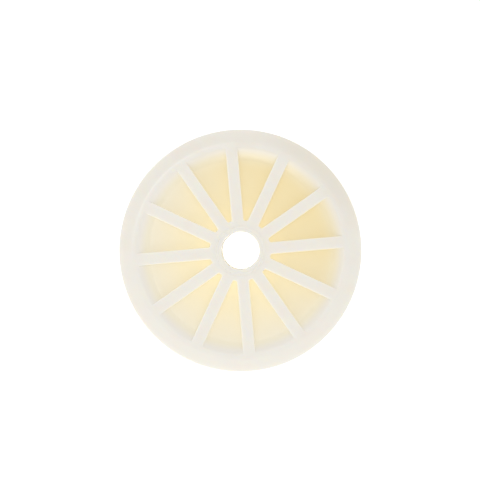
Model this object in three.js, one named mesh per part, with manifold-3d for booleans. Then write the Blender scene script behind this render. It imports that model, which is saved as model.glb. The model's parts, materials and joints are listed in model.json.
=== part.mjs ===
// Adjustable film developing reel in natural nylon: two spiral-grooved flanges on telescoping hub tubes.
// Millimetres, +Z up. The reel lies on its back flange, with the origin at the middle of that face.
// The film gate is on the +X side. Angles are in degrees, anticlockwise from +X seen from +Z.
import * as THREE from 'three';
import { mergeVertices } from 'three/addons/utils/BufferGeometryUtils.js';
import Module from 'manifold-3d';

const wasm = await Module();
wasm.setup();

// ---- Driving dimensions ----
const REEL_R = 48; // outline of both flanges
const BORE_R = 7.5; // bore that the tank's column passes through
const FILM_W = 35; // film the reel is set for at rest
const FILM_W_STEPS = [0, 11, 26.5]; // travel from there to 46 mm (127) and 61.5 mm (120) film
const FILM_FLOAT = 0.3; // spare width between the groove floors
const TWIST = 25; // how far the front flange turns each way

const FLANGE_T = 4; // rib tops to groove floor
const WEB_T = 1.2; // thin web between the ribs
const RIM_W = 6.7; // rim, from the webs to the outline
const CREST_W = 5.3; // rim's highest ring to the outline
const RIM_EDGE = 0.9; // straight part of the outline, below the rounding
const EDGE_CHAMFER = 0.3;
const COVE_W = 5.3; // sloping border between web and rim
const RIB_COUNT = 12;
const RIB_W = 4.9;
const RIB_START = 5; // first rib, from the film gate
const HUB_RING_W = 2.45; // raised ring around the core tube

const RAIL_PITCH = 2.35; // one turn of film to the next
const RAIL_T = 0.8;
const RAIL_H = 2.2;
const RAIL_START_GAP = 3; // least room between the hub boss and the innermost turn

const CORE_WALL = 1.9;
const COLLAR_WALL = 1.2;
const SLEEVE_WALL = 1.3;
const BOSS_WALL = 1.3;
const BOSS_H = 3;
const SEAT_GAP = 0.3; // between pieces fixed in one another
const RUN_GAP = 0.3; // between pieces that slide or turn
const SHOULDER_H = 1.5; // core tube's seat under the front flange
const SHOULDER_W = 0.9;
const SLEEVE_END_GAP = 0.7; // sleeve's end to the front flange

const CLIP_T = 1.2; // snap ring below the collar
const CLIP_DEPTH = 0.9; // its groove in the core tube
const CLIP_OPENING = 50; // gap in the ring, degrees
const CLIP_END = 0.9; // core tube's end to the groove
const COLLAR_H = 6.5;
const STOP_H = 2.6; // twist stops on the collar, and the keys between them
const KEY_ARC = 14;
const STOP_SPARE = 1; // degrees left between a key and its stop at the end of the twist
const LUG_W = 3.4; // collar's lugs, in the sleeve's slots
const LUG_H = 3;
const LUG_RISE = 0.5;
const SLOT_COUNT = 4;
const NOTCH_DEPTH = 0.8; // click notch beside a slot
const NOSE = 0.2; // lug's click nose
const NOSE_H = 1;

const BALL_R = 1.5875; // 1/8 inch steel ball
const BALL_GAP = 0.25;
const BALL_TRAVEL = 2.4; // along the rim, from free to gripping
const BALL_DRAW = 0.6; // inwards over that travel, down the pocket's ramp
const BALL_BITE = 0.8; // how far the free ball stands in the groove
const POD_LIP_GAP = 0.24; // from the ball pod's end to the gate lip's start, along the rim
const POD_WALL = 0.85;
const POD_MARGIN = 0.7; // pocket's back to the outline
const POD_END = 2.1; // solid ends of the pocket, which take the keeper's pegs
const KEEPER_T = 1;
const PEG_R = 0.5;
const PEG_DEPTH = 2;
const KEEPER_SLOT_W = 1.8;
const LIP_START = -1; // flared lip that leads the film into the gate, from the end of the outermost turn
const LIP_ARC = 23;
const LIP_FLARE = 2.6;
const LIP_T = 0.9;

// ---- Facets ----
const ROUND_SIDES = 48;
const TUBE_SIDES = 36;
const RAIL_STEPS_PER_TURN = 24;
const CURVE_STEPS = 4;
const LIP_STEPS = 6;
const POD_STEPS = 4;
const PEG_SIDES = 8;
const BALL_SIDES = 12;
const BALL_RINGS = 8;
const OVERLAP = 0.3; // how far joined shapes sink into each other before they become one
const PAST = 1; // how far a cutting shape runs past the face it cuts

// ---- Worked out from the above ----
const DEG = Math.PI / 180;
const RECESS = FLANGE_T - WEB_T;
const GROOVE_SPAN = FILM_W + FILM_FLOAT;
const REEL_H = 2 * FLANGE_T + GROOVE_SPAN;
const TRAVEL = FILM_W_STEPS[FILM_W_STEPS.length - 1];

const CORE_R = BORE_R + CORE_WALL;
const CORE_SEAT_R = CORE_R + SEAT_GAP;
const COLLAR_IN_R = CORE_R + RUN_GAP;
const COLLAR_R = COLLAR_IN_R + COLLAR_WALL;
const SLEEVE_IN_R = COLLAR_R + RUN_GAP;
const SLEEVE_R = SLEEVE_IN_R + SLEEVE_WALL;
const BOSS_IN_R = SLEEVE_R + SEAT_GAP;
const BOSS_R = BOSS_IN_R + BOSS_WALL;
const HUB_RING_R = CORE_SEAT_R + HUB_RING_W;
const SHOULDER_R = CORE_R + SHOULDER_W;

const CORE_Z = FLANGE_T + RUN_GAP;
const CLIP_Z = CORE_Z + CLIP_END;
const COLLAR_Z = CLIP_Z + CLIP_T + RUN_GAP;
const KEY_Z = COLLAR_Z + COLLAR_H + RUN_GAP;
const LUG_Z = COLLAR_Z + LUG_RISE;
const SLOT_Z = LUG_Z - RUN_GAP;
const SLOT_H = LUG_H + TRAVEL + 2 * RUN_GAP;
const SLOT_W = LUG_W + 2 * RUN_GAP;
const SLEEVE_Z = FLANGE_T + SEAT_GAP;
const SLEEVE_TOP = REEL_H - FLANGE_T - SLEEVE_END_GAP;

const POD_R = REEL_R - POD_MARGIN;
const POCKET_HALF = BALL_TRAVEL / 2 + BALL_R + BALL_GAP;
const POCKET_R = Math.sqrt((POD_R - POD_WALL) ** 2 - POCKET_HALF ** 2);
const RAMP = BALL_DRAW / BALL_TRAVEL;
const RAMP_R = POCKET_R - RAMP * POCKET_HALF;
const BALL_AT_R = RAMP_R - (BALL_R + BALL_GAP) * Math.hypot(1, RAMP) + RAMP * BALL_TRAVEL / 2;
const GROOVE_OUT_R = BALL_AT_R - BALL_R + BALL_BITE;
const RAIL_END_R = GROOVE_OUT_R + RAIL_T / 2;
const RAIL_TURNS = Math.floor((RAIL_END_R - RAIL_T / 2 - BOSS_R - RAIL_START_GAP) / RAIL_PITCH);
const RAIL_START_R = RAIL_END_R - RAIL_TURNS * RAIL_PITCH;
const POD_HALF_ARC = (POCKET_HALF + POD_END) / BALL_AT_R / DEG;
const POD_ARC_AT = LIP_START - POD_LIP_GAP / BALL_AT_R / DEG - POD_HALF_ARC;
const POD_TOP = FLANGE_T + 2 * (BALL_R + BALL_GAP);
const KEEPER_Z = POD_TOP + SEAT_GAP;
const KEEPER_TOP = KEEPER_Z + KEEPER_T;

// ---- Solids and cuts ----
function solid(geometry) {
  geometry.deleteAttribute('normal');
  geometry.deleteAttribute('uv');
  const merged = mergeVertices(geometry);
  return new wasm.Manifold(new wasm.Mesh({
    numProp: 3,
    vertProperties: new Float32Array(merged.attributes.position.array),
    triVerts: new Uint32Array(merged.index.array),
  }));
}

function geometryOf(manifold) {
  const mesh = manifold.getMesh();
  const geometry = new THREE.BufferGeometry();
  geometry.setAttribute('position', new THREE.BufferAttribute(mesh.vertProperties, 3));
  geometry.setIndex(new THREE.BufferAttribute(mesh.triVerts, 1));
  return geometry;
}

// The same shape seen in a mirror lying level at half the reel's height.
function mirroredInHeight(geometry) {
  const places = geometry.attributes.position;
  for (let i = 0; i < places.count; i += 1) {
    places.setZ(i, REEL_H - places.getZ(i));
  }
  const corners = geometry.index.array;
  for (let i = 0; i < corners.length; i += 3) {
    [corners[i], corners[i + 1]] = [corners[i + 1], corners[i]];
  }
  return geometry;
}

// A profile of [radius, height] pairs, turned about the reel's axis.
function turned(profile, sides) {
  const points = profile.map(([r, z]) => new THREE.Vector2(r, z));
  points.push(points[0].clone());
  return new THREE.LatheGeometry(points, sides).rotateX(Math.PI / 2);
}

function ring(innerR, outerR, z0, z1, sides = TUBE_SIDES) {
  return solid(turned([[innerR, z0], [outerR, z0], [outerR, z1], [innerR, z1]], sides));
}

// A box from one corner to the opposite one, turned about the reel's axis.
function block([x0, y0, z0], [x1, y1, z1], angle = 0) {
  const box = new THREE.BoxGeometry(x1 - x0, y1 - y0, z1 - z0);
  box.translate((x0 + x1) / 2, (y0 + y1) / 2, (z0 + z1) / 2);
  return solid(box.rotateZ(angle * DEG));
}

function polar(r, angle) {
  return new THREE.Vector2(r * Math.cos(angle * DEG), r * Math.sin(angle * DEG));
}

// A flat outline of points, raised from z0 to z1.
function raised(points, z0, z1) {
  const outline = new THREE.Shape(points);
  const geometry = new THREE.ExtrudeGeometry(outline, { depth: z1 - z0, bevelEnabled: false });
  return solid(geometry.translate(0, 0, z0));
}

// A wall of thickness t whose middle radius changes from r0 to r1 between two angles.
function curvedWall(r0, r1, angle0, angle1, t, z0, z1, steps, ease = (s) => s) {
  const inner = [];
  const outer = [];
  for (let i = 0; i <= steps; i += 1) {
    const r = r0 + (r1 - r0) * ease(i / steps);
    const angle = angle0 + (angle1 - angle0) * i / steps;
    inner.push(polar(r - t / 2, angle));
    outer.push(polar(r + t / 2, angle));
  }
  return raised([...outer, ...inner.reverse()], z0, z1);
}

function sidesAcross(sweep) {
  return Math.ceil(TUBE_SIDES * sweep / 360);
}

function arcWall(innerR, outerR, angle0, angle1, z0, z1, steps = sidesAcross(angle1 - angle0)) {
  const middle = (innerR + outerR) / 2;
  return curvedWall(middle, middle, angle0, angle1, outerR - innerR, z0, z1, steps);
}

// Eases from 0 to 1, level at both ends.
function eased(s) {
  return s * s * (3 - 2 * s);
}

function joined(solids) {
  return solids.reduce((sum, next) => sum.add(next));
}

// ---- Flanges, drawn as the back one lies: ribs down, spiral up ----
function flangeDisc(holeR) {
  const webEdge = REEL_R - RIM_W - COVE_W;
  const crest = REEL_R - CREST_W;
  const shoulder = FLANGE_T - EDGE_CHAMFER - RIM_EDGE;
  const profile = [[holeR, 0], [HUB_RING_R, 0], [HUB_RING_R, RECESS]];
  for (let i = 0; i <= CURVE_STEPS; i += 1) {
    const s = i / CURVE_STEPS;
    profile.push([webEdge + COVE_W * s, RECESS * (1 - eased(s))]);
  }
  for (let i = 0; i <= CURVE_STEPS; i += 1) {
    const turn = (Math.PI / 2) * (i / CURVE_STEPS);
    profile.push([crest + CREST_W * Math.sin(turn), shoulder * (1 - Math.cos(turn))]);
  }
  profile.push([REEL_R, FLANGE_T - EDGE_CHAMFER], [REEL_R - EDGE_CHAMFER, FLANGE_T]);
  profile.push([holeR, FLANGE_T]);
  return solid(turned(profile, ROUND_SIDES));
}

function ribs() {
  const inner = HUB_RING_R - HUB_RING_W / 2;
  const outer = REEL_R - CREST_W;
  const angles = Array.from({ length: RIB_COUNT }, (_, i) => RIB_START + i * 360 / RIB_COUNT);
  return joined(angles.map((angle) => block(
    [inner, -RIB_W / 2, 0], [outer, RIB_W / 2, RECESS + OVERLAP], angle,
  )));
}

function spiralRail() {
  const start = -360 * RAIL_TURNS;
  const foot = FLANGE_T - OVERLAP;
  const steps = RAIL_STEPS_PER_TURN * RAIL_TURNS;
  return curvedWall(RAIL_START_R, RAIL_END_R, start, 0, RAIL_T, foot, FLANGE_T + RAIL_H, steps);
}

// The flared lip carries the outermost turn's line outwards past the gate.
function gateLip() {
  const end = LIP_START + LIP_ARC;
  const foot = FLANGE_T - OVERLAP;
  const flare = (s) => s * s;
  return curvedWall(
    RAIL_END_R, RAIL_END_R + LIP_FLARE, LIP_START, end, LIP_T, foot, KEEPER_TOP, LIP_STEPS, flare,
  );
}

// A curved plate over the ball pocket's whole length, reaching outwards to the pod's back.
function podPlate(innerR, trim, z0, z1) {
  const half = POD_HALF_ARC - trim / BALL_AT_R / DEG;
  return arcWall(innerR, POD_R, POD_ARC_AT - half, POD_ARC_AT + half, z0, z1, POD_STEPS);
}

function ballPod() {
  const inner = GROOVE_OUT_R;
  const body = podPlate(inner, 0, FLANGE_T - OVERLAP, POD_TOP);
  const ramped = [
    new THREE.Vector2(inner - PAST, -POCKET_HALF),
    new THREE.Vector2(POCKET_R, -POCKET_HALF),
    new THREE.Vector2(RAMP_R - RAMP * POCKET_HALF, POCKET_HALF),
    new THREE.Vector2(inner - PAST, POCKET_HALF),
  ].map((point) => point.rotateAround(new THREE.Vector2(), POD_ARC_AT * DEG));
  const pocket = raised(ramped, FLANGE_T, POD_TOP + PAST);
  return { body, pocket, pegHoles: joined(pegs(PEG_R + SEAT_GAP, KEEPER_Z - PEG_DEPTH - SEAT_GAP)) };
}

// Two pegs, or the holes that take them, in the solid ends of the ball pocket.
function pegs(radius, bottom) {
  return [-1, 1].map((side) => {
    const peg = new THREE.CylinderGeometry(radius, radius, KEEPER_Z + OVERLAP - bottom, PEG_SIDES);
    peg.rotateX(Math.PI / 2);
    const along = side * (POCKET_HALF + POD_END / 2);
    peg.translate((BALL_AT_R + POCKET_R) / 2 - PEG_R, along, (KEEPER_Z + OVERLAP + bottom) / 2);
    return solid(peg.rotateZ(POD_ARC_AT * DEG));
  });
}

function flange(holeR) {
  const boss = ring(BOSS_IN_R, BOSS_R, FLANGE_T - OVERLAP, FLANGE_T + BOSS_H);
  const pod = ballPod();
  const whole = joined([flangeDisc(holeR), ribs(), boss, spiralRail(), gateLip(), pod.body]);
  return geometryOf(whole.subtract(pod.pocket).subtract(pod.pegHoles));
}

// ---- Hub ----
function coreTube() {
  const tube = ring(BORE_R, CORE_R, CORE_Z, REEL_H);
  const shoulderTop = REEL_H - FLANGE_T - SEAT_GAP;
  const shoulder = ring(CORE_R - OVERLAP, SHOULDER_R, shoulderTop - SHOULDER_H, shoulderTop);
  const keys = [0, 180].map((at) => arcWall(
    CORE_R - OVERLAP, SHOULDER_R, at - KEY_ARC / 2, at + KEY_ARC / 2, KEY_Z, KEY_Z + STOP_H,
  ));
  const clipGroove = ring(
    CORE_R - CLIP_DEPTH, CORE_R + PAST, CLIP_Z - SEAT_GAP / 2, CLIP_Z + CLIP_T + SEAT_GAP / 2,
  );
  return geometryOf(joined([tube, shoulder, ...keys]).subtract(clipGroove));
}

function collarClip() {
  const half = CLIP_OPENING / 2;
  const innerR = CORE_R - CLIP_DEPTH + SEAT_GAP / 2;
  return geometryOf(arcWall(innerR, COLLAR_R - SEAT_GAP, half, 360 - half, CLIP_Z, CLIP_Z + CLIP_T));
}

function indexCollar() {
  const top = KEY_Z + STOP_H;
  const body = ring(COLLAR_IN_R, COLLAR_R, COLLAR_Z, top);
  const free = KEY_ARC / 2 + TWIST + STOP_SPARE;
  const keyways = [0, 180].map((at) => arcWall(
    COLLAR_IN_R - PAST, COLLAR_R + PAST, at - free, at + free, COLLAR_Z + COLLAR_H, top + PAST,
  ));
  const outer = SLEEVE_R - RUN_GAP;
  const lugs = [90, 270].map((at) => block(
    [COLLAR_R - OVERLAP, -LUG_W / 2, LUG_Z], [outer, LUG_W / 2, LUG_Z + LUG_H], at,
  ));
  const noseZ = LUG_Z + (LUG_H - NOSE_H) / 2;
  const noses = [90, 270].map((at) => block(
    [COLLAR_R + RUN_GAP, LUG_W / 2 - OVERLAP, noseZ], [outer, LUG_W / 2 + NOSE, noseZ + NOSE_H], at,
  ));
  return geometryOf(joined([body, ...lugs, ...noses]).subtract(joined(keyways)));
}

function hubSleeve() {
  const tube = ring(SLEEVE_IN_R, SLEEVE_R, SLEEVE_Z, SLEEVE_TOP);
  const innerR = SLEEVE_IN_R - PAST;
  const outerR = SLEEVE_R + PAST;
  const angles = Array.from({ length: SLOT_COUNT }, (_, i) => i * 360 / SLOT_COUNT);
  const slots = angles.map((at) => block(
    [innerR, -SLOT_W / 2, SLOT_Z], [outerR, SLOT_W / 2, SLOT_Z + SLOT_H], at,
  ));
  const notchH = LUG_H + 2 * RUN_GAP;
  const notches = [90, 270].flatMap((at) => FILM_W_STEPS.map((step) => block(
    [innerR, SLOT_W / 2 - OVERLAP, SLOT_Z + step],
    [outerR, SLOT_W / 2 + NOTCH_DEPTH, SLOT_Z + step + notchH],
    at,
  )));
  return geometryOf(tube.subtract(joined([...slots, ...notches])));
}

// ---- Film grip, drawn for the back flange ----
function ball() {
  const sphere = new THREE.SphereGeometry(BALL_R, BALL_SIDES, BALL_RINGS);
  sphere.translate(BALL_AT_R, -BALL_TRAVEL / 2, FLANGE_T + BALL_GAP + BALL_R);
  return geometryOf(solid(sphere.rotateZ(POD_ARC_AT * DEG)));
}

function ballKeeper() {
  const inner = GROOVE_OUT_R + SEAT_GAP;
  const plate = podPlate(inner, SEAT_GAP, KEEPER_Z, KEEPER_TOP);
  const slot = block(
    [BALL_AT_R - KEEPER_SLOT_W / 2, -POCKET_HALF, KEEPER_Z - PAST],
    [BALL_AT_R + KEEPER_SLOT_W / 2, POCKET_HALF, KEEPER_TOP + PAST],
    POD_ARC_AT,
  );
  return geometryOf(joined([plate, ...pegs(PEG_R, KEEPER_Z - PEG_DEPTH)]).subtract(slot));
}

// ---- Materials ----
const nylon = () => new THREE.MeshStandardMaterial({ color: 0xeeeae0, roughness: 0.45, metalness: 0 });
const acetal = () => new THREE.MeshStandardMaterial({ color: 0xf2f0ea, roughness: 0.35, metalness: 0 });
const steel = () => new THREE.MeshStandardMaterial({ color: 0xc8cacc, roughness: 0.15, metalness: 1 });

function piece(name, geometry, material) {
  const mesh = new THREE.Mesh(geometry, material);
  mesh.name = name;
  return mesh;
}

const reel = new THREE.Group();
reel.add(
  piece('back_flange', flange(BORE_R), nylon()),
  piece('hub_sleeve', hubSleeve(), nylon()),
  piece('back_ball', ball(), steel()),
  piece('back_ball_keeper', ballKeeper(), acetal()),
  piece('index_collar', indexCollar(), acetal()),
  piece('collar_clip', collarClip(), acetal()),
  piece('core_tube', coreTube(), nylon()),
  piece('front_flange', mirroredInHeight(flange(CORE_SEAT_R)), nylon()),
  piece('front_ball', mirroredInHeight(ball()), steel()),
  piece('front_ball_keeper', mirroredInHeight(ballKeeper()), acetal()),
);

export default reel;
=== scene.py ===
import json
import math

import bmesh
import bpy
from mathutils import Matrix, Vector


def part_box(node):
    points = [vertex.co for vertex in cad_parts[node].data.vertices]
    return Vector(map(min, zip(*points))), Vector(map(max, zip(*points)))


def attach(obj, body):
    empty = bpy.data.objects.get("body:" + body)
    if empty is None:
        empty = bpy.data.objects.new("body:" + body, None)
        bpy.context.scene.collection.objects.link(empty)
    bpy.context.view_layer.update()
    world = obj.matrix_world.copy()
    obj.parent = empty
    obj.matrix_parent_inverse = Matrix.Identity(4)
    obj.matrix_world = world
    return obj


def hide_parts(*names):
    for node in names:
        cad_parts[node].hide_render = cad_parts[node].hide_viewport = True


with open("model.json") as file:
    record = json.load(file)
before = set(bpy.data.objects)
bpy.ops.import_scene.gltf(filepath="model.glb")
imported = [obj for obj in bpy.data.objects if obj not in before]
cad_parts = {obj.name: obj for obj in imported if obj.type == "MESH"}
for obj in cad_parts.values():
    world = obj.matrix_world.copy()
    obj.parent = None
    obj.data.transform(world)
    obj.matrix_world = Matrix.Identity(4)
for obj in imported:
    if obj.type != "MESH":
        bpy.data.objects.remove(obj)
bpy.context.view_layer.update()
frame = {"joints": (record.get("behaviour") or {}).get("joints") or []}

MM = 0.001
DEG = math.pi / 180
AXIS = (0, 0, 1)
MIDDLE = (0, 0, 0)


def low(node):
    """A CAD node's lowest corner, in millimetres."""
    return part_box(node)[0] / MM


def high(node):
    """A CAD node's highest corner, in millimetres."""
    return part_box(node)[1] / MM


# ---- Sizes from the frame ----
REEL_R = high("back_flange").x
REEL_H = high("front_flange").z
KEEPER_TOP = high("back_ball_keeper").z
SLEEVE_R = high("hub_sleeve").x
SLEEVE_Z = low("hub_sleeve").z
SLEEVE_TOP = high("hub_sleeve").z
CORE_Z = low("core_tube").z
SHOULDER_R = high("core_tube").x
CLIP_Z = low("collar_clip").z
CLIP_TOP = high("collar_clip").z
CLIP_R = high("collar_clip").y
COLLAR_Z = low("index_collar").z
COLLAR_TOP = high("index_collar").z
LUG_END = high("index_collar").y
BALL_PLACE = (low("back_ball") + high("back_ball")) / 2
BALL_Z = BALL_PLACE.z
BALL_R = high("back_ball").z - BALL_Z
JOINTS = {joint["name"]: joint for joint in frame["joints"]}
TRAVEL = JOINTS["width_slide"]["range_m"][1] / MM
TWIST = JOINTS["flange_twist"]["range_deg"][1]

# ---- Driving dimensions ----
BORE_R = 7.5
FLANGE_T = 4.0
WEB_T = 1.2
RIM_W = 6.7
COVE_W = 5.3
RIB_COUNT = 12
RIB_W = 4.9
RIB_START = 5
HUB_RING_W = 2.75
RIM_LAND = 0.85  # level ring between the cove and the rim's crown
RIM_ROLLS = ((7.5, 10), (165.0, 11.5))  # the crown: each roll's radius, and the slope it ends at
RIB_ROUND = 0.3
TIP_ROUND = 0.9  # a window's inner corners, as a share of its half width there
SMALL_ROUND = 0.25
FINE_ROUND = 0.1

RAIL_PITCH = 2.35
RAIL_TURNS = 11
RAIL_T = 0.8
RAIL_H = 2.2
RAIL_FOOT = 0.95
RAIL_CREST = 0.62

SEAM = 0.01  # what shows between pieces that are pressed together
SEAM_ROUND = 0.02
RUN_GAP = 0.3
SLEEVE_WALL = 1.3
BOSS_WALL = 1.6
BOSS_H = 3.0
SHOULDER_W = 0.9
SHOULDER_H = 1.5
CLIP_DEPTH = 0.9
CLIP_OPENING = 50
COLLAR_H = 6.5
STOP_H = 2.6
KEY_ARC = 14
KEYS_AT = (0, 180)
STOP_SPARE = 1
LUG_W = 3.4
LUG_H = 3.0
LUG_RISE = 0.5
LUGS_AT = (90, 270)
SLOT_COUNT = 4
NOTCH_STEPS = (0, 11, TRAVEL)  # a click for each film width
NOTCH_DEPTH = 0.8
NOSE = 0.2
NOSE_H = 1.0

POD_WALL = 0.85
POD_MARGIN = 0.7
POD_END = 2.1
BALL_GAP = 0.25
BALL_TRAVEL = 2.4
BALL_DRAW = 0.6  # how far the pocket's back comes in over that travel
BALL_BITE = 0.8  # how far the free ball stands in the groove
PEG_R = 0.5
PEG_DEPTH = 2.0
KEEPER_SLOT_W = 1.8
KEEPER_SLOT_ROUND = 0.6
LIP_START = -1
LIP_ARC = 23
LIP_FLARE = 2.6
LIP_T = 0.9
KEEPER_T = 1.0

# ---- Facets ----
ROUND_SIDES = 192
TUBE_SIDES = 96
PEG_SIDES = 24
ARC_STEPS = 16
ROUND_STEPS = 3
ROLL_STEPS = 5
OVERLAP = 0.3  # how far joined shapes sink into each other
PAST = 1.0  # how far a cutting shape runs past the face it cuts
MERGED = 0.001  # corners closer than this become one
NEAR = 0.01  # heights closer than this are the same
LEVEL = 0.99  # a face is level if its normal points up by more than this
CORNER = 40  # an edge that turns by more than this is a corner
CREASE = 35  # and one that turns by more than this stays crisp

# ---- Worked out from the above ----
RECESS = FLANGE_T - WEB_T
CORE_R = SHOULDER_R - SHOULDER_W
HUB_RING_R = CORE_R + HUB_RING_W
SLEEVE_IN_R = SLEEVE_R - SLEEVE_WALL
BOSS_IN_R = SLEEVE_R + SEAM
BOSS_R = SLEEVE_R + BOSS_WALL
CLIP_GROOVE_R = CORE_R - CLIP_DEPTH
COLLAR_R = SLEEVE_IN_R - RUN_GAP
COVE_OUT_R = REEL_R - RIM_W
COVE_IN_R = COVE_OUT_R - COVE_W
RIB_STEP = 360 / RIB_COUNT
LUG_Z = COLLAR_Z + LUG_RISE
SLOT_Z = LUG_Z - RUN_GAP
SLOT_TOP = SLOT_Z + LUG_H + TRAVEL + 2 * RUN_GAP
SLOT_W = LUG_W + 2 * RUN_GAP
KEY_Z = COLLAR_TOP - STOP_H
KEEPER_Z = KEEPER_TOP - KEEPER_T
POD_TOP = KEEPER_Z - RUN_GAP
POD_R = REEL_R - POD_MARGIN
POCKET_HALF = BALL_TRAVEL / 2 + BALL_R + BALL_GAP
POD_HALF = POCKET_HALF + POD_END
POCKET_R = math.sqrt((POD_R - POD_WALL) ** 2 - POCKET_HALF ** 2)
POCKET_DRAW = 2 * POCKET_HALF * BALL_DRAW / BALL_TRAVEL
BALL_AT_R = math.sqrt(BALL_PLACE.xy.length ** 2 - (BALL_TRAVEL / 2) ** 2)
POD_AT = (math.atan2(BALL_PLACE.y, BALL_PLACE.x) + math.atan(BALL_TRAVEL / 2 / BALL_AT_R)) / DEG
GROOVE_OUT_R = BALL_AT_R - BALL_R + BALL_BITE
RAIL_END_R = GROOVE_OUT_R + RAIL_T / 2
RAIL_START_R = RAIL_END_R - RAIL_TURNS * RAIL_PITCH


# ---- Shapes ----
def flat(corners, upright=False):
    """One flat face, in the XZ plane if upright, else in XY.
    A corner is (across, along) or (across, along, rounding)."""
    bm = bmesh.new()
    made = []
    for across, along, *_ in corners:
        made.append(bm.verts.new((across, 0, along) if upright else (across, along, 0)))
    bm.faces.new(made)
    for rounding in sorted({corner[2] for corner in corners if len(corner) > 2}):
        chosen = [vert for vert, corner in zip(made, corners) if corner[2:] == (rounding,)]
        bmesh.ops.bevel(
            bm, geom=chosen, affect="VERTICES", offset=rounding, segments=ROUND_STEPS, profile=0.5,
            material=-1,
        )
    return bm


def turned(corners, sides=TUBE_SIDES):
    """A section of (radius, height) corners, spun right round the reel's axis."""
    bm = flat(corners, upright=True)
    bmesh.ops.delete(bm, geom=bm.faces[:], context="FACES_ONLY")
    outline = bm.verts[:] + bm.edges[:]
    bmesh.ops.spin(bm, geom=outline, cent=MIDDLE, axis=AXIS, angle=360 * DEG, steps=sides, use_merge=True)
    bmesh.ops.recalc_face_normals(bm, faces=bm.faces)
    return bm


def open_turned(corners, sides):
    """The same, open between the section's first and last corners, and where the turn ends."""
    bm = flat(corners, upright=True)
    bmesh.ops.delete(bm, geom=bm.faces[:], context="FACES_ONLY")
    ends = {round(corners[0][0], 4), round(corners[-1][0], 4)}
    closing = [edge for edge in bm.edges if {round(vert.co.x, 4) for vert in edge.verts} == ends]
    bmesh.ops.delete(bm, geom=closing, context="EDGES")
    outline = bm.verts[:] + bm.edges[:]
    bmesh.ops.spin(bm, geom=outline, cent=MIDDLE, axis=AXIS, angle=360 * DEG, steps=sides, use_merge=False)
    return bm


def swept(corners, start, sweep, steps, growth=lambda share: 0):
    """A section spun from one angle through another, with its ends closed.
    On the way it moves outwards by growth(share of the way)."""
    bm = flat(corners, upright=True)
    bmesh.ops.delete(bm, geom=bm.faces[:], context="FACES_ONLY")
    around = len(bm.verts)
    outline = bm.verts[:] + bm.edges[:]
    bmesh.ops.spin(bm, geom=outline, cent=MIDDLE, axis=AXIS, angle=sweep * DEG, steps=steps, use_merge=False)
    for place, vert in enumerate(bm.verts):
        outwards = Vector((vert.co.x, vert.co.y, 0)).normalized()
        vert.co += outwards * growth((place // around) / steps)
    bmesh.ops.holes_fill(bm, edges=bm.edges, sides=0)
    turn(bm, start)
    bmesh.ops.recalc_face_normals(bm, faces=bm.faces)
    return bm


def corners_of(geometry):
    return [part for part in geometry if isinstance(part, bmesh.types.BMVert)]


def raised(corners, z0, z1):
    """A flat face drawn up into a closed block."""
    bm = flat(corners)
    bmesh.ops.translate(bm, vec=(0, 0, z0), verts=bm.verts)
    top = bmesh.ops.extrude_face_region(bm, geom=bm.faces[:], use_keep_orig=True)["geom"]
    bmesh.ops.translate(bm, vec=(0, 0, z1 - z0), verts=corners_of(top))
    bmesh.ops.recalc_face_normals(bm, faces=bm.faces)
    return bm


def block(x0, x1, width, z0, z1, at, rounding=0.0):
    """A box across the +X direction, turned to an angle. Its edges along X can be rounded."""
    bm = bmesh.new()
    bmesh.ops.create_cube(bm, size=1)
    bmesh.ops.scale(bm, vec=(x1 - x0, width, z1 - z0), verts=bm.verts)
    bmesh.ops.translate(bm, vec=((x0 + x1) / 2, 0, (z0 + z1) / 2), verts=bm.verts)
    if rounding:
        along = [edge for edge in bm.edges if abs(edge.verts[0].co.x - edge.verts[1].co.x) > (x1 - x0) / 2]
        rounded(bm, along, rounding)
    turn(bm, at)
    return bm


def rounded(bm, edges, offset):
    bmesh.ops.bevel(
        bm, geom=edges, affect="EDGES", offset=offset, segments=ROUND_STEPS, profile=0.5, material=-1,
    )


def sharp_edges(bm, degrees=CORNER):
    return [edge for edge in bm.edges if edge.is_manifold and edge.calc_face_angle() > degrees * DEG]


def turn(bm, degrees):
    bmesh.ops.rotate(bm, cent=MIDDLE, matrix=Matrix.Rotation(degrees * DEG, 3, "Z"), verts=bm.verts)


def in_front(bm):
    """The same shape in the front half: seen in a level mirror at half the reel's height."""
    bmesh.ops.scale(bm, vec=(1, 1, -1), verts=bm.verts)
    bmesh.ops.translate(bm, vec=(0, 0, REEL_H), verts=bm.verts)
    bmesh.ops.reverse_faces(bm, faces=bm.faces)
    return bm


def loose(bm):
    """A shape as an object for a boolean."""
    mesh = bpy.data.meshes.new("tool")
    bm.to_mesh(mesh)
    bm.free()
    thing = bpy.data.objects.new("tool", mesh)
    bpy.context.scene.collection.objects.link(thing)
    return thing


def combined(body, operation, *tools):
    """Joins the tools to the body, cuts them from it, or keeps what is common to both."""
    base = loose(body)
    rack = bpy.data.collections.new("tools")
    bpy.context.scene.collection.children.link(rack)
    others = [loose(tool) for tool in tools]
    for thing in others:
        rack.objects.link(thing)
    change = base.modifiers.new("combined", "BOOLEAN")
    change.operation = operation
    change.operand_type = "COLLECTION"
    change.collection = rack
    change.solver = "EXACT"
    bpy.context.view_layer.update()
    result = bmesh.new()
    result.from_object(base, bpy.context.evaluated_depsgraph_get())
    for thing in [base, *others]:
        bpy.data.meshes.remove(thing.data)
    bpy.data.collections.remove(rack)
    bmesh.ops.remove_doubles(result, verts=result.verts, dist=MERGED)
    bmesh.ops.dissolve_degenerate(result, edges=result.edges, dist=MERGED)
    return result


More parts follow.
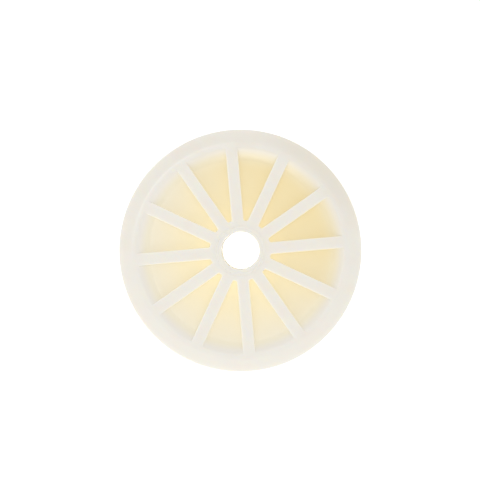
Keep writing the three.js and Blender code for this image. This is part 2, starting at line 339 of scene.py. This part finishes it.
# ---- Flanges ----
def rim_roll():
    """The rim's section, from its level ring over a gentle crown to the upright outline.
    The last roll's radius is what is left to the outline."""
    r, z, slope = COVE_OUT_R + RIM_LAND, 0.0, 0.0
    points = [(r, z)]
    for radius, end in (*RIM_ROLLS, (0, 90)):
        radius = radius or (REEL_R - r) / (1 - math.sin(slope * DEG))
        for i in range(1, ROLL_STEPS + 1):
            now = (slope + (end - slope) * i / ROLL_STEPS) * DEG
            points.append((
                r + radius * abs(math.sin(now) - math.sin(slope * DEG)),
                z + radius * abs(math.cos(slope * DEG) - math.cos(now)),
            ))
        r, z, slope = *points[-1], end
    return points


def rail_tooth(radius, height):
    """The spiral rail's section, thinner at its crest, going inwards."""
    foot, crest, top = RAIL_FOOT / 2, RAIL_CREST / 2, FLANGE_T + height
    return [
        (radius + foot, FLANGE_T), (radius + crest, top, FINE_ROUND),
        (radius - crest, top, FINE_ROUND), (radius - foot, FLANGE_T),
    ]


def wind(radius, share):
    """Where a point of the comb of rails goes, that share of the way round.
    Each tooth ends where the next begins. The level teeth at the comb's two ends close up
    against the hub boss and the outline."""
    if radius < RAIL_START_R - RAIL_PITCH / 2:
        return BOSS_R + (radius + RAIL_PITCH - BOSS_R) * share
    if radius > RAIL_END_R - RAIL_PITCH / 2:
        return radius + (REEL_R - SMALL_ROUND - radius) * share
    return radius + RAIL_PITCH * share


def outer_side():
    """The ribbed side, from the bore's edge to the outline's, open towards the film."""
    disc = turned([
        (BORE_R, 0, SEAM_ROUND), *rim_roll(),
        (REEL_R, FLANGE_T, SMALL_ROUND), (BORE_R, FLANGE_T, FINE_ROUND),
    ], ROUND_SIDES)
    bm = combined(disc, "DIFFERENCE", windows())
    inside = [
        face for face in bm.faces
        if face.normal.z > LEVEL and face.calc_center_median().z > FLANGE_T - NEAR
    ]
    bmesh.ops.delete(bm, geom=inside, context="FACES")
    return bm


def film_side():
    """The side towards the film: a comb of rails wound into one spiral, and the hub sleeve's boss."""
    teeth = rail_tooth(RAIL_END_R, 0)
    for i in range(RAIL_TURNS):
        teeth += rail_tooth(RAIL_END_R - (i + 1) * RAIL_PITCH, RAIL_H)
    teeth += rail_tooth(RAIL_START_R - RAIL_PITCH, 0)
    bm = open_turned([
        (REEL_R - SMALL_ROUND, FLANGE_T), *teeth, (BOSS_R, FLANGE_T),
        (BOSS_R, FLANGE_T + BOSS_H, SMALL_ROUND), (BOSS_IN_R, FLANGE_T + BOSS_H, FINE_ROUND),
        (BOSS_IN_R, FLANGE_T), (BORE_R + FINE_ROUND, FLANGE_T),
    ], ROUND_SIDES)
    around = len(bm.verts) // (ROUND_SIDES + 1)
    for place, vert in enumerate(bm.verts):
        radius = vert.co.xy.length
        if BOSS_R + FINE_ROUND < radius < REEL_R - 2 * SMALL_ROUND:
            vert.co.xy *= wind(radius, (place // around) / ROUND_SIDES) / radius
    return bm


def rib_side(radius, half_rib, side):
    """Where a rib's side meets a radius, seen along the middle of the window beside it."""
    along = math.sqrt(radius ** 2 - half_rib ** 2)
    lean = RIB_STEP / 2 * DEG
    return (
        along * math.cos(lean) + half_rib * math.sin(lean),
        side * (along * math.sin(lean) - half_rib * math.cos(lean)),
    )


def windows():
    """The hollows between the ribs. The mouth is rounded over, and the bottom is the web, with its
    cove up to the rim."""
    half_rib = RIB_W / 2 - RIB_ROUND
    inner = HUB_RING_R - RIB_ROUND
    outer = COVE_OUT_R + PAST + RIB_ROUND
    tip = rib_side(inner, half_rib, 1)
    tip_round = TIP_ROUND * tip[1]
    bm = flat([
        (tip[0], -tip[1], tip_round), rib_side(outer, half_rib, -1),
        rib_side(outer, half_rib, 1), (*tip, tip_round),
    ])
    for i in range(ROUND_STEPS):
        a0, a1 = (90 * DEG * step / ROUND_STEPS for step in (i, i + 1))
        bmesh.ops.inset_region(
            bm, faces=[top_face(bm)], thickness=RIB_ROUND * (math.sin(a1) - math.sin(a0)),
            depth=RIB_ROUND * (math.cos(a0) - math.cos(a1)), use_even_offset=True, use_boundary=True,
        )
    bottom = top_face(bm)
    bmesh.ops.inset_region(bm, faces=[bottom], thickness=0, depth=RECESS, use_boundary=True)
    mouth = [edge for edge in bm.edges if edge.is_boundary]
    lid = bmesh.ops.extrude_edge_only(bm, edges=mouth)["geom"]
    bmesh.ops.translate(bm, vec=(0, 0, -PAST), verts=corners_of(lid))
    bmesh.ops.holes_fill(bm, edges=bm.edges, sides=0)
    bmesh.ops.recalc_face_normals(bm, faces=bm.faces)
    turn(bm, RIB_START + RIB_STEP / 2)
    bmesh.ops.spin(
        bm, geom=bm.faces[:], cent=MIDDLE, axis=AXIS, angle=(360 - RIB_STEP) * DEG,
        steps=RIB_COUNT - 1, use_duplicate=True,
    )
    cove = []
    for i in range(ARC_STEPS + 1):
        s = i / ARC_STEPS
        cove.append((COVE_IN_R + COVE_W * s, RECESS * (1 - s * s * (3 - 2 * s))))
    space = turned([
        (BORE_R, RECESS), *cove, (COVE_OUT_R + PAST, -OVERLAP), (COVE_OUT_R + PAST, -PAST), (BORE_R, -PAST),
    ], ROUND_SIDES)
    return combined(space, "INTERSECT", bm)


def top_face(bm):
    def rank(face):
        return face.normal.z > LEVEL, face.calc_center_median().z, face.calc_area()
    return max(bm.faces, key=rank)


def gate_lip():
    """The flared guide that carries the outermost turn's line outwards past the gate."""
    inner, outer = RAIL_END_R - LIP_T / 2, RAIL_END_R + LIP_T / 2
    return swept(
        [(inner, FLANGE_T - OVERLAP), (outer, FLANGE_T - OVERLAP),
         (outer, KEEPER_TOP, SMALL_ROUND), (inner, KEEPER_TOP, SMALL_ROUND)],
        LIP_START, LIP_ARC, ARC_STEPS, lambda share: LIP_FLARE * share ** 2,
    )


def pod_plate(inner, trim, z0, z1, corner):
    """A curved plate over the ball pocket's whole length, its upright edges rounded."""
    half = (POD_HALF - trim) / BALL_AT_R / DEG
    section = [(inner, z0), (POD_R, z0), (POD_R, z1), (inner, z1)]
    bm = swept(section, POD_AT - half, 2 * half, ARC_STEPS)
    tall = (z1 - z0) / 2
    uprights = [edge for edge in sharp_edges(bm) if abs(edge.verts[0].co.z - edge.verts[1].co.z) > tall]
    rounded(bm, uprights, corner)
    crest = [edge for edge in sharp_edges(bm) if all(vert.co.z > z1 - NEAR for vert in edge.verts)]
    rounded(bm, crest, FINE_ROUND)
    return bm


def pocket():
    """The ball's pocket: its back slopes inwards, so that film pulled backwards wedges the ball."""
    bm = raised([
        (GROOVE_OUT_R - PAST, -POCKET_HALF), (POCKET_R, -POCKET_HALF, SMALL_ROUND),
        (POCKET_R - POCKET_DRAW, POCKET_HALF, SMALL_ROUND), (GROOVE_OUT_R - PAST, POCKET_HALF),
    ], FLANGE_T - PAST, POD_TOP + PAST)
    turn(bm, POD_AT)
    return bm


def pegs(radius, bottom, top):
    """Two round pegs, or their holes, in the solid ends of the ball's pocket."""
    made = []
    for side in (-1, 1):
        bm = bmesh.new()
        bmesh.ops.create_cone(
            bm, cap_ends=True, segments=PEG_SIDES, radius1=radius, radius2=radius, depth=top - bottom,
        )
        along = side * (POCKET_HALF + POD_HALF) / 2
        across = (BALL_AT_R + POCKET_R) / 2 - PEG_R
        bmesh.ops.translate(bm, vec=(across, along, (top + bottom) / 2), verts=bm.verts)
        turn(bm, POD_AT)
        made.append(bm)
    return made


def ball_pod():
    """The raised housing of the ball's pocket, with the holes for its cover's pegs."""
    body = pod_plate(GROOVE_OUT_R, 0, FLANGE_T - OVERLAP, POD_TOP, SMALL_ROUND)
    holes = pegs(PEG_R + SEAM, KEEPER_Z - PEG_DEPTH - RUN_GAP, POD_TOP + PAST)
    return combined(body, "DIFFERENCE", pocket(), *holes)


def flange():
    """The back flange: its two sides made one shell, with the gate lip and the ball pod on it."""
    bm = outer_side()
    film = film_side()
    mesh = bpy.data.meshes.new("film_side")
    film.to_mesh(mesh)
    film.free()
    bm.from_mesh(mesh)
    bpy.data.meshes.remove(mesh)
    bmesh.ops.remove_doubles(bm, verts=bm.verts, dist=MERGED)
    bmesh.ops.holes_fill(bm, edges=[edge for edge in bm.edges if edge.is_boundary], sides=0)
    bmesh.ops.recalc_face_normals(bm, faces=bm.faces)
    return combined(bm, "UNION", gate_lip(), ball_pod())


def front_flange(back):
    """The front flange is the back one's mirror, with a wider bore that takes the core tube."""
    bm = back.copy()
    for vert in bm.verts:
        radius = vert.co.xy.length
        if radius < BORE_R + OVERLAP:
            vert.co.xy *= (radius + CORE_R + SEAM - BORE_R) / radius
    return in_front(bm)


# ---- Hub ----
def core_tube():
    """The front flange's tube: a shoulder under the flange, twist keys and the snap ring's groove."""
    shoulder_top = REEL_H - FLANGE_T - SEAM
    shoulder_z = shoulder_top - SHOULDER_H
    tube = turned([
        (BORE_R, CORE_Z, SMALL_ROUND), (CORE_R, CORE_Z, SMALL_ROUND),
        (CORE_R, CLIP_Z - RUN_GAP / 2), (CLIP_GROOVE_R, CLIP_Z - RUN_GAP / 2),
        (CLIP_GROOVE_R, CLIP_TOP + RUN_GAP / 2), (CORE_R, CLIP_TOP + RUN_GAP / 2),
        (CORE_R, shoulder_z), (SHOULDER_R, shoulder_z, SMALL_ROUND),
        (SHOULDER_R, shoulder_top, FINE_ROUND), (CORE_R, shoulder_top),
        (CORE_R, REEL_H, SEAM_ROUND), (BORE_R, REEL_H, SMALL_ROUND),
    ])
    keys = [swept(
        [(CORE_R - OVERLAP, KEY_Z, 0), (SHOULDER_R, KEY_Z, FINE_ROUND),
         (SHOULDER_R, COLLAR_TOP, FINE_ROUND), (CORE_R - OVERLAP, COLLAR_TOP, 0)],
        at - KEY_ARC / 2, KEY_ARC, ARC_STEPS // 2,
    ) for at in KEYS_AT]
    return combined(tube, "UNION", *keys)


def snap_ring():
    """An open ring in the core tube's groove, its section and its two ends eased."""
    half = CLIP_OPENING / 2
    inner = CLIP_GROOVE_R + RUN_GAP / 2
    return swept(
        [(inner, CLIP_Z, FINE_ROUND), (CLIP_R, CLIP_Z, FINE_ROUND),
         (CLIP_R, CLIP_TOP, FINE_ROUND), (inner, CLIP_TOP, FINE_ROUND)],
        half, 360 - 2 * half, TUBE_SIDES,
    )


def index_collar():
    """The sliding collar: twist stops at its top, and two lugs with click noses in the sleeve's slots."""
    body = turned([
        (CORE_R + RUN_GAP, COLLAR_Z, FINE_ROUND), (COLLAR_R, COLLAR_Z, FINE_ROUND),
        (COLLAR_R, COLLAR_TOP, FINE_ROUND), (CORE_R + RUN_GAP, COLLAR_TOP, FINE_ROUND),
    ])
    lugs = [
        block(COLLAR_R - OVERLAP, LUG_END, LUG_W, LUG_Z, LUG_Z + LUG_H, at, SMALL_ROUND)
        for at in LUGS_AT
    ]
    nose_z = LUG_Z + (LUG_H - NOSE_H) / 2
    nose_w = 2 * NOSE + OVERLAP
    noses = []
    for at in LUGS_AT:
        bm = block(COLLAR_R + RUN_GAP, LUG_END, nose_w, nose_z, nose_z + NOSE_H, 0, NOSE)
        bmesh.ops.translate(bm, vec=(0, LUG_W / 2 + NOSE - nose_w / 2, 0), verts=bm.verts)
        turn(bm, at)
        noses.append(bm)
    free = KEY_ARC / 2 + TWIST + STOP_SPARE
    inner, outer, floor = CORE_R - PAST, COLLAR_R + PAST, COLLAR_Z + COLLAR_H
    keyways = [swept(
        [(inner, floor), (outer, floor), (outer, COLLAR_TOP + PAST), (inner, COLLAR_TOP + PAST)],
        at - free, 2 * free, ARC_STEPS,
    ) for at in KEYS_AT]
    return combined(combined(body, "UNION", *lugs, *noses), "DIFFERENCE", *keyways)


def hub_sleeve():
    """The back flange's tube: four long slots, two of them with a click notch for each film width."""
    tube = turned([
        (SLEEVE_IN_R, SLEEVE_Z, FINE_ROUND), (SLEEVE_R, SLEEVE_Z, FINE_ROUND),
        (SLEEVE_R, SLEEVE_TOP, SMALL_ROUND), (SLEEVE_IN_R, SLEEVE_TOP, SMALL_ROUND),
    ], ROUND_SIDES)
    inner, outer = SLEEVE_IN_R - PAST, SLEEVE_R + PAST
    slots = [
        block(inner, outer, SLOT_W, SLOT_Z, SLOT_TOP, i * 360 / SLOT_COUNT, 2 * SMALL_ROUND)
        for i in range(SLOT_COUNT)
    ]
    notches = []
    for at in LUGS_AT:
        for step in NOTCH_STEPS:
            z = SLOT_Z + step
            bm = block(inner, outer, 2 * NOTCH_DEPTH, z, z + LUG_H + 2 * RUN_GAP, 0, SMALL_ROUND)
            bmesh.ops.translate(bm, vec=(0, SLOT_W / 2, 0), verts=bm.verts)
            turn(bm, at)
            notches.append(bm)
    return combined(tube, "DIFFERENCE", *slots, *notches)


# ---- Film grip ----
def ball():
    """The back flange's ball, at the free end of its pocket."""
    bm = bmesh.new()
    bmesh.ops.create_icosphere(bm, subdivisions=5, radius=BALL_R)
    bmesh.ops.translate(bm, vec=(BALL_AT_R, -BALL_TRAVEL / 2, BALL_Z), verts=bm.verts)
    turn(bm, POD_AT)
    return bm


def ball_keeper():
    """The slotted cover over a ball's pocket, with two pegs."""
    plate = pod_plate(GROOVE_OUT_R + RUN_GAP, RUN_GAP, KEEPER_Z, KEEPER_TOP, SMALL_ROUND)
    inner, outer = BALL_AT_R - KEEPER_SLOT_W / 2, BALL_AT_R + KEEPER_SLOT_W / 2
    slot = raised([
        (inner, -POCKET_HALF, KEEPER_SLOT_ROUND), (outer, -POCKET_HALF, KEEPER_SLOT_ROUND),
        (outer, POCKET_HALF, KEEPER_SLOT_ROUND), (inner, POCKET_HALF, KEEPER_SLOT_ROUND),
    ], KEEPER_Z - PAST, KEEPER_TOP + PAST)
    turn(slot, POD_AT)
    whole = combined(plate, "UNION", *pegs(PEG_R, KEEPER_Z - PEG_DEPTH, KEEPER_Z + OVERLAP))
    return combined(whole, "DIFFERENCE", slot)


# ---- Finishes ----
class Shade:
    """A number in a finish's node tree. Arithmetic on it adds Math nodes."""

    def __init__(self, finish, socket):
        self.finish = finish
        self.socket = socket

    def math(self, operation, *values):
        places = dict(enumerate(values))
        return self.finish.node("ShaderNodeMath", {"operation": operation}, places, 0)

    def __add__(self, other):
        return self.math("ADD", self, other)

    def __sub__(self, other):
        return self.math("SUBTRACT", self, other)

    def __rsub__(self, other):
        return self.math("SUBTRACT", other, self)

    def __mul__(self, other):
        return self.math("MULTIPLY", self, other)

    def __truediv__(self, other):
        return self.math("DIVIDE", self, other)

    __radd__ = __add__
    __rmul__ = __mul__


class Finish:
    """A procedural material. Its patterns are in millimetres on the piece's own coordinates."""

    def __init__(self, name):
        self.material = bpy.data.materials.new(name)
        self.material.use_nodes = True
        self.tree = self.material.node_tree
        self.surface = self.tree.nodes["Principled BSDF"]
        values = {0: self.node("ShaderNodeTexCoord", {}, {}, "Object"), "Scale": 1 / MM}
        self.place = self.node("ShaderNodeVectorMath", {"operation": "SCALE"}, values, 0)

    def node(self, kind, settings, values, output):
        """Adds one node: its settings first, then its sockets' values or links. Gives back an output."""
        made = self.tree.nodes.new(kind)
        for name, setting in settings.items():
            if name == "stops":
                self.set_stops(made.color_ramp, setting)
            else:
                setattr(made, name, setting)
        for key, value in values.items():
            if isinstance(value, Shade):
                self.tree.links.new(value.socket, made.inputs[key])
            else:
                made.inputs[key].default_value = value
        return Shade(self, made.outputs[output])

    def set_stops(self, ramp, stops):
        while len(ramp.elements) < len(stops):
            ramp.elements.new(1)
        for element, (place, colour) in zip(ramp.elements, stops):
            element.position = place
            element.color = (*colour, 1)

    def steps(self, value, start, end):
        """0 below start, 1 above end, and eased between."""
        values = {"Value": value, "From Min": start, "From Max": end}
        return self.node("ShaderNodeMapRange", {"interpolation_type": "SMOOTHSTEP"}, values, 0)

    def grain(self, size, detail=2.0):
        """Noise from 0 to 1, whose lumps are about that size."""
        values = {"Vector": self.place, "Scale": 1 / size, "Detail": detail}
        return self.node("ShaderNodeTexNoise", {}, values, 0)

    def blend(self, share, first, second):
        values = {0: share, 6: first, 7: second}
        return self.node("ShaderNodeMix", {"data_type": "RGBA", "clamp_factor": True}, values, 2)

    def feed(self, socket, value):
        if isinstance(value, Shade):
            self.tree.links.new(value.socket, self.surface.inputs[socket])
        else:
            self.surface.inputs[socket].default_value = value

    def relief(self, height, millimetres):
        values = {"Height": height, "Distance": millimetres * MM, "Strength": 1.0}
        self.feed("Normal", self.node("ShaderNodeBump", {}, values, 0))


def linear(red, green, blue):
    """A screen colour of 0 to 255 as scene-linear numbers."""
    return tuple(
        part / 12.92 if part <= 0.04045 else ((part + 0.055) / 1.055) ** 2.4
        for part in (red / 255, green / 255, blue / 255)
    )


def opaque(colour):
    return (*linear(*colour), 1)


DARK = (0, 0, 0, 1)
WHITE = (1, 1, 1, 1)
NYLON = (239, 236, 228)
NYLON_WARM = (239, 234, 225)
NYLON_CLOUDS = (0.45, 0.75)  # grain between which its mottling turns warm
NYLON_HUB_LIFT = (241, 237, 227)  # painted light: paler where the hub's tubes and ring stand behind one another
HUB_LIFT_FADE = 2
NYLON_RIM_SHADE = (234, 229, 217)  # painted shade: the rim darker and warmer towards one side
RIM_SHADE_SPAN = (0.72, 1.03)  # how far to that side it starts and is complete, as shares of the radius
SHADED_SIDE_AT = 45  # the direction of the side that the painted shade darkens
NYLON_ROUGH = 0.18
NYLON_ROUGH_GRAIN = 0.06
BORE_ROUGH = 0.5
BORE_EDGE = (0.05, 0.2)  # from the bore's wall to the face around it
ACETAL = (243, 242, 238)
ACETAL_WARM = (238, 234, 224)
ACETAL_CLOUDS = (0.4, 0.7)
STEEL = (200, 203, 206)
STEEL_DARK = (150, 152, 156)
SCUFFS = (0.55, 0.8)

# A thin web's colour from the hub outwards, by the share of the reel's radius: a straw tint painted
# for the light let through the web from behind. It is palest where the cove thickens.
WEB_LIT_TINTS = (
    (0.28, (248, 236, 196)), (0.50, (247, 235, 199)), (0.70, (243, 234, 208)),
    (0.78, (243, 236, 214)), (0.83, (241, 236, 226)), (0.87, (239, 236, 228)),
)
WEB_SHADED_TINT = (242, 225, 176)  # painted shade: the webs' tint deeper and darker towards one side
WEB_SHADE_SPAN = (-0.3, 0.7)  # how far to that side it starts and is complete
WEB_SHADE_OUT = (0.66, 0.9)  # and how far from the hub it ends
RIB_FADE = (-0.45, 0.25)  # from a rib's side, where the tint and painted glow start and are complete; starting inside the rib, the glow lifts the shade at its foot
HUB_FADE = 0.3
RIM_FADE = 0.6
# A painted glow for the light let through a thin web, by the same share of the radius, and how much
# less of the light on it a web gives back for that. The glow also lifts the shade in the hollows.
WEB_GLOW = ((0.26, 0.555), (0.40, 0.505), (0.60, 0.49), (0.74, 0.48), (0.80, 0.455), (0.87, 0.42))
LET_THROUGH = 0.45
INNER_TINT = 0.5  # how much of a web's tint shows on the film side
BORE_GLOW = 0.12  # painted glow that lifts the shade in the bore's wall, and in the joint around the core tube's end
JOINT_GLOW = 0.1
JOINT_SPREAD = 0.7


def nylon(name, ribbed):
    """Natural nylon: milky, faintly mottled, softly moulded, with painted light where it is thin: a straw
    tint and a glow for the light let through it. Painted shade darkens its rim and webs towards one side.
    """
    finish = Finish(name)
    radius, direction = planar(finish)
    mottle = finish.grain(9.0)
    colour = finish.blend(finish.steps(mottle, *NYLON_CLOUDS), opaque(NYLON), opaque(NYLON_WARM))
    # painted light: the hub's tubes and ring made paler
    hub_lift = 1 - finish.steps(radius, CORE_R, HUB_RING_R + HUB_LIFT_FADE)
    colour = finish.blend(hub_lift, colour, opaque(NYLON_HUB_LIFT))
    sideways = direction.math("COSINE", direction - SHADED_SIDE_AT * DEG) * radius / REEL_R
    # painted shade on the rim, darker and warmer towards one side
    colour = finish.blend(finish.steps(sideways, *RIM_SHADE_SPAN), colour, opaque(NYLON_RIM_SHADE))
    in_bore = 1 - finish.steps(radius, *(BORE_R + edge for edge in BORE_EDGE))
    off_joint = radius.math("ABSOLUTE", radius - CORE_R)
    at_joint = (1 - finish.steps(off_joint, 0, JOINT_SPREAD)) * outer_face(finish)
    # painted glow: lifts the shade in the bore and in the joint around the core tube's end
    glow = in_bore * BORE_GLOW + at_joint * JOINT_GLOW
    lit = opaque(NYLON)
    if ribbed:
        thin = thin_web(finish, radius, direction)
        outside = thin * outer_face(finish)
        # painted light: the straw tint of the light let through the thin webs
        lit = painted_web_tint(finish, radius, sideways)
        colour = finish.blend(thin * INNER_TINT + outside * (1 - INNER_TINT), colour, lit)
        # the webs give back less light, and a painted glow stands in for the light let through them
        colour = finish.blend(outside * LET_THROUGH, colour, DARK)
        glow = glow + outside * web_glow(finish, radius)
    finish.feed("Base Color", colour)
    finish.feed("Emission Color", finish.blend(glow, DARK, lit))
    finish.feed("Emission Strength", 1.0)
    finish.feed("Roughness", NYLON_ROUGH + finish.grain(2.5) * NYLON_ROUGH_GRAIN + in_bore * BORE_ROUGH)
    finish.relief(finish.grain(4.0) * 0.7 + finish.grain(0.35) * 0.3, 0.02)
    finish.feed("IOR", 1.53)
    finish.feed("Subsurface Weight", 0.5)
    finish.feed("Subsurface Radius", (1.0, 0.85, 0.6))
    finish.feed("Subsurface Scale", 2.5 * MM)
    return finish.material


def planar(finish):
    """Distance from the reel's axis in millimetres, and the direction round it in radians."""
    x, y = (finish.node("ShaderNodeSeparateXYZ", {}, {0: finish.place}, axis) for axis in (0, 1))
    square = x * x + y * y
    return square.math("SQRT", square), x.math("ARCTAN2", y, x)


def outer_face(finish):
    """1 on a flange's ribbed side, 0 on the side towards the film."""
    z = finish.node("ShaderNodeSeparateXYZ", {}, {0: finish.place}, 2)
    depth = z.math("MINIMUM", z, REEL_H - z)
    return 1 - finish.steps(depth, RECESS + WEB_T / 4, FLANGE_T - WEB_T / 4)


def thin_web(finish, radius, direction):
    """1 on the webs between the ribs, 0 on the ribs, the hub ring and the rim."""
    from_rib = direction.math("PINGPONG", direction - RIB_START * DEG, RIB_STEP / 2 * DEG)
    beside = radius * from_rib.math("SINE", from_rib)
    between = finish.steps(beside, *(RIB_W / 2 + fade for fade in RIB_FADE))
    past_hub = finish.steps(radius, HUB_RING_R - HUB_FADE, HUB_RING_R + HUB_FADE)
    inside_rim = 1 - finish.steps(radius, COVE_OUT_R - RIM_FADE, COVE_OUT_R)
    return between * past_hub * inside_rim


def painted_web_tint(finish, radius, sideways):
    """A thin web's painted tint for the light let through it, made deeper by painted shade towards one side.
    """
    stops = [(place, linear(*colour)) for place, colour in WEB_LIT_TINTS]
    along = finish.node("ShaderNodeValToRGB", {"stops": stops}, {0: radius / REEL_R}, 0)
    # painted shade: the tint deepens towards one side
    shaded_side = finish.steps(sideways, *WEB_SHADE_SPAN) * (1 - finish.steps(radius / REEL_R, *WEB_SHADE_OUT))
    return finish.blend(shaded_side, along, opaque(WEB_SHADED_TINT))


def web_glow(finish, radius):
    """How much painted glow stands in for the light that comes through a web from inside the reel."""
    stops = [(place, (share, share, share)) for place, share in WEB_GLOW]
    return finish.node("ShaderNodeValToRGB", {"stops": stops}, {0: radius / REEL_R}, 0)


def acetal(name):
    """White acetal: denser and glossier than the nylon."""
    finish = Finish(name)
    clouds = finish.steps(finish.grain(3.0), *ACETAL_CLOUDS)
    finish.feed("Base Color", finish.blend(clouds, opaque(ACETAL), opaque(ACETAL_WARM)))
    finish.feed("Roughness", 0.28 + finish.grain(1.0) * 0.1)
    finish.relief(finish.grain(0.5), 0.01)
    return finish.material


def steel(name):
    """A bearing ball's polished steel, lightly scuffed by film edges."""
    finish = Finish(name)
    scuff = finish.steps(finish.grain(0.25, 6.0), *SCUFFS)
    finish.feed("Base Color", finish.blend(scuff, opaque(STEEL), opaque(STEEL_DARK)))
    finish.feed("Metallic", 1.0)
    finish.feed("Roughness", 0.12 + scuff * 0.2)
    finish.relief(scuff, 0.004)
    return finish.material


# ---- Pieces ----
def piece(name, shape, finish, body, node):
    """Makes a finished shape a piece of the reel, in metres, in place of its CAD node."""
    bmesh.ops.scale(shape, vec=(MM, MM, MM), verts=shape.verts)
    for face in shape.faces:
        face.smooth = True
    for edge in sharp_edges(shape, CREASE):
        edge.smooth = False
    mesh = bpy.data.meshes.new(name)
    shape.to_mesh(mesh)
    shape.free()
    mesh.materials.append(finish)
    made = bpy.data.objects.new(name, mesh)
    bpy.context.scene.collection.objects.link(made)
    shading = made.modifiers.new("even shading", "WEIGHTED_NORMAL")
    shading.keep_sharp = True
    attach(made, body)
    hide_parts(node)


def assemble():
    """All ten pieces, each on the body that its CAD node rides on."""
    ribbed_nylon = nylon("ribbed_nylon", ribbed=True)
    plain_nylon = nylon("plain_nylon", ribbed=False)
    white_acetal = acetal("white_acetal")
    ball_steel = steel("ball_steel")
    back = flange()
    front = front_flange(back)
    piece("front_flange_moulding", front, ribbed_nylon, "front_half", "front_flange")
    piece("back_flange_moulding", back, ribbed_nylon, "back_half", "back_flange")
    piece("hub_sleeve_tube", hub_sleeve(), plain_nylon, "back_half", "hub_sleeve")
    piece("core_tube_moulding", core_tube(), plain_nylon, "front_half", "core_tube")
    piece("index_collar_ring", index_collar(), white_acetal, "width_collar", "index_collar")
    piece("collar_snap_ring", snap_ring(), white_acetal, "front_half", "collar_clip")
    piece("back_keeper_cover", ball_keeper(), white_acetal, "back_half", "back_ball_keeper")
    upper = in_front(ball_keeper())
    piece("front_keeper_cover", upper, white_acetal, "front_half", "front_ball_keeper")
    piece("back_steel_ball", ball(), ball_steel, "back_grip", "back_ball")
    piece("front_steel_ball", in_front(ball()), ball_steel, "front_grip", "front_ball")


# ---- Stage ----
TABLE_SIZE = 4.0  # metres each way from the middle
TABLE_SQUARES = 8
TABLE_WHITE = (0.75, 0.75, 0.75, 1)
TABLE_DIMMER = (0.43, 0.43, 0.43, 1)  # its glow away from the bore
TABLE_GLOW = 1.15
TABLE_FADE = 4
ROOM_GLOW = 0.845
KEY_AT = (-155, 130, 920)  # this and the places and sizes below in millimetres
KEY_SIZE = (300, 60)
KEY_WATTS = 0.35
FILL_AT = (-110, -480, 275)
FILL_SIZE = (420, 420)
FILL_WATTS = 0.7
CAMERA_AT = (8.2, 4.7, 1040.5)
CAMERA_AIM = (-0.14, 0.27, 40.5)
SENSOR_W = 36.0
LENS = 188.9
SEES_TO = 20  # metres


def floor():
    """A white light table, brightest under the reel's bore."""
    bm = bmesh.new()
    bmesh.ops.create_grid(bm, x_segments=TABLE_SQUARES, y_segments=TABLE_SQUARES, size=TABLE_SIZE)
    mesh = bpy.data.meshes.new("light_table")
    bm.to_mesh(mesh)
    bm.free()
    finish = Finish("light_table")
    radius, _ = planar(finish)
    away = finish.steps(radius, BORE_R, BORE_R + TABLE_FADE)
    finish.feed("Base Color", TABLE_WHITE)
    finish.feed("Roughness", 0.9)
    finish.feed("Emission Color", finish.blend(away, WHITE, TABLE_DIMMER))
    finish.feed("Emission Strength", TABLE_GLOW)
    mesh.materials.append(finish.material)
    table = bpy.data.objects.new("light_table", mesh)
    bpy.context.scene.collection.objects.link(table)


def lamp(name, place, size, watts):
    """A soft box at a place in millimetres, turned to the reel."""
    light = bpy.data.lights.new(name, "AREA")
    light.shape = "RECTANGLE"
    light.size, light.size_y = (side * MM for side in size)
    light.energy = watts
    made = bpy.data.objects.new(name, light)
    made.location = Vector(place) * MM
    aim = Vector((0, 0, REEL_H)) - Vector(place)
    made.rotation_euler = aim.to_track_quat("-Z", "Y").to_euler()
    bpy.context.scene.collection.objects.link(made)


def studio():
    """A white room with a key light above one side of the rim, and a soft fill from below."""
    world = bpy.data.worlds.new("white_room")
    world.use_nodes = True
    background = world.node_tree.nodes["Background"]
    background.inputs["Color"].default_value = WHITE
    background.inputs["Strength"].default_value = ROOM_GLOW
    bpy.context.scene.world = world
    bpy.context.scene.view_settings.view_transform = "Standard"
    lamp("key", KEY_AT, KEY_SIZE, KEY_WATTS)
    lamp("fill", FILL_AT, FILL_SIZE, FILL_WATTS)


def camera():
    """Looks straight down at the front flange from about a metre."""
    lens = bpy.data.cameras.new("camera")
    lens.sensor_fit = "HORIZONTAL"
    lens.sensor_width = SENSOR_W
    lens.lens = LENS
    lens.clip_end = SEES_TO
    made = bpy.data.objects.new("camera", lens)
    made.location = Vector(CAMERA_AT) * MM
    back = (Vector(CAMERA_AT) - Vector(CAMERA_AIM)).normalized()
    right = Vector((0, 1, 0)).cross(back).normalized()
    up = back.cross(right)
    made.rotation_euler = Matrix((right, up, back)).transposed().to_euler()
    bpy.context.scene.collection.objects.link(made)
    bpy.context.scene.camera = made


assemble()
floor()
studio()
camera()
